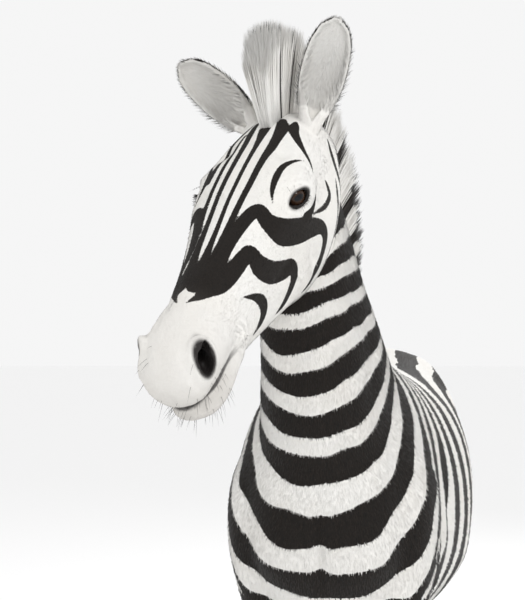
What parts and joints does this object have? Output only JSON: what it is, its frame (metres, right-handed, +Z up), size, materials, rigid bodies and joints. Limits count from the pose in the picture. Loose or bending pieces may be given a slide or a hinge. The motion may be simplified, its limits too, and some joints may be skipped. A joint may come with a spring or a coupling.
{
  "type": "zebra",
  "caption": "Life-size plains zebra, a still model, standing with its head raised and turned to its right, with an erect brush mane and a tufted tail.",
  "frame": {"origin": "on the floor, under the middle of the animal's bounding box", "axes": "+Z up from the floor, -Y the way the body faces, +X the animal's left"},
  "size_m": [0.5554, 1.9444, 1.8464],
  "materials": {
    "coat": "matte short hair, off-white with near-black stripes",
    "ear_coat": "matte short hair, off-white with a dark tip and band",
    "tail_coat": "matte long hair, near-black below a striped dock",
    "eye": "wet gloss, dark brown",
    "hoof": "satin dark horn"
  },
  "bodies": {
    "root": {"head": "coat", "neck": "coat", "leg_front_left_upper": "coat", "leg_front_left_lower": "coat", "hoof_front_left": "hoof", "leg_front_right_upper": "coat", "leg_front_right_lower": "coat", "hoof_front_right": "hoof", "leg_rear_left_upper": "coat", "leg_rear_left_lower": "coat", "hoof_rear_left": "hoof", "leg_rear_right_upper": "coat", "leg_rear_right_lower": "coat", "hoof_rear_right": "hoof", "torso": "coat", "tail": "tail_coat", "ear_left": "ear_coat", "ear_right": "ear_coat", "eye_left": "eye", "eye_right": "eye"}
  },
  "joints": []
}
